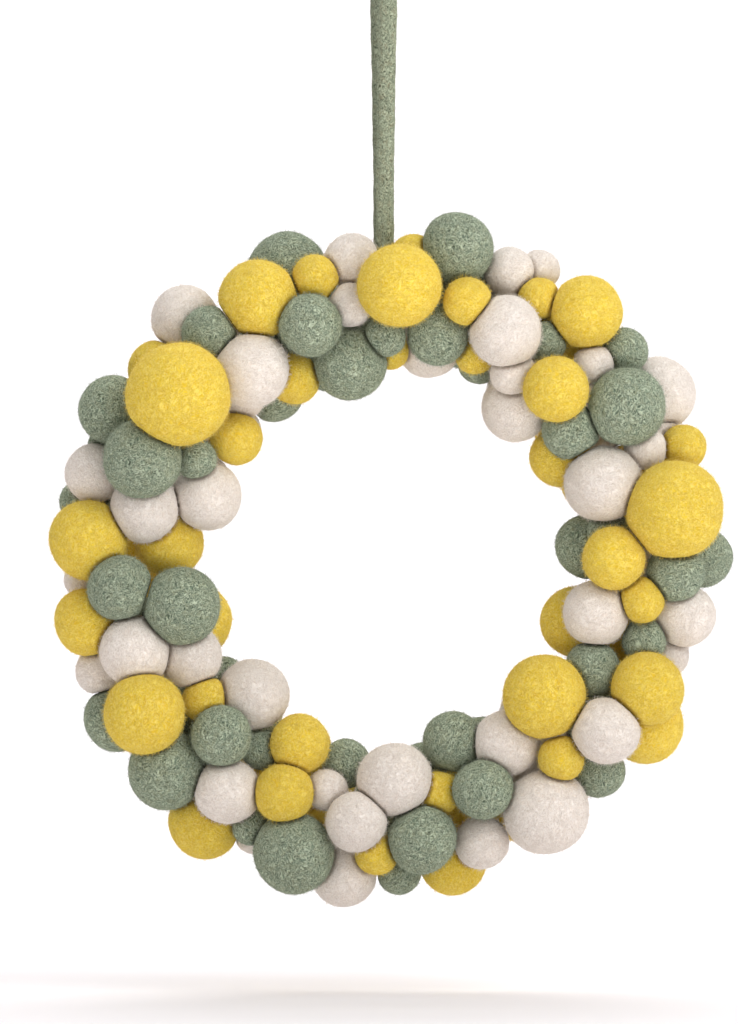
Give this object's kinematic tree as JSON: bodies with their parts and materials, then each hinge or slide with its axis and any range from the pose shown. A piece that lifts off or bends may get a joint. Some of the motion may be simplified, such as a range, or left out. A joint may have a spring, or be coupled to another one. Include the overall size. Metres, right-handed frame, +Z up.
{
  "type": "felt wreath",
  "caption": "Round wreath of pressed wool felt balls in yellow, sage green and off-white, hung on a doubled sage felt cord.",
  "frame": {"origin": "inside the top of the hanging loop, where a hook or nail holds it, on the loop's middle line", "axes": "+Z up along the hanging cord, -Y out of the wreath's front towards the viewer, +X to the viewer's right"},
  "size_m": [0.3016, 0.1144, 0.4402],
  "materials": {
    "felt_yellow": "matt wet-felted wool, golden yellow with paler fibres",
    "felt_sage": "matt wet-felted wool, sage green melange with paler and darker fibres",
    "felt_white": "matt wet-felted wool, off-white with a faint pink cast",
    "felt_cord": "matt felted wool cord, greyish sage green"
  },
  "bodies": {
    "root": {"felt_yellow_01": "felt_yellow", "felt_yellow_02": "felt_yellow", "felt_yellow_03": "felt_yellow", "felt_yellow_04": "felt_yellow", "felt_yellow_05": "felt_yellow", "felt_yellow_06": "felt_yellow", "felt_yellow_07": "felt_yellow", "felt_yellow_08": "felt_yellow", "felt_yellow_09": "felt_yellow", "felt_yellow_10": "felt_yellow", "felt_yellow_11": "felt_yellow", "felt_yellow_12": "felt_yellow", "felt_yellow_13": "felt_yellow", "felt_yellow_14": "felt_yellow", "felt_yellow_15": "felt_yellow", "felt_yellow_16": "felt_yellow", "felt_yellow_17": "felt_yellow", "felt_yellow_18": "felt_yellow", "felt_yellow_19": "felt_yellow", "felt_sage_01": "felt_sage", "felt_sage_02": "felt_sage", "felt_sage_03": "felt_sage", "felt_sage_04": "felt_sage", "felt_sage_05": "felt_sage", "felt_sage_06": "felt_sage", "felt_sage_07": "felt_sage", "felt_sage_08": "felt_sage", "felt_sage_09": "felt_sage", "felt_sage_10": "felt_sage", "felt_sage_11": "felt_sage", "felt_sage_12": "felt_sage", "felt_sage_13": "felt_sage", "felt_sage_14": "felt_sage", "felt_sage_15": "felt_sage", "felt_sage_16": "felt_sage", "felt_sage_17": "felt_sage", "felt_sage_18": "felt_sage", "felt_sage_19": "felt_sage", "felt_white_01": "felt_white", "felt_white_02": "felt_white", "felt_white_03": "felt_white", "felt_white_04": "felt_white", "felt_white_05": "felt_white", "felt_white_06": "felt_white", "felt_white_07": "felt_white", "felt_white_08": "felt_white", "felt_white_09": "felt_white", "felt_white_10": "felt_white", "felt_white_11": "felt_white", "felt_white_12": "felt_white", "felt_white_13": "felt_white", "felt_white_14": "felt_white", "felt_white_15": "felt_white", "felt_white_16": "felt_white", "felt_white_17": "felt_white", "felt_white_18": "felt_white", "felt_white_19": "felt_white", "felt_white_20": "felt_white", "felt_white_21": "felt_white", "hanging_cord": "felt_cord"}
  },
  "joints": []
}
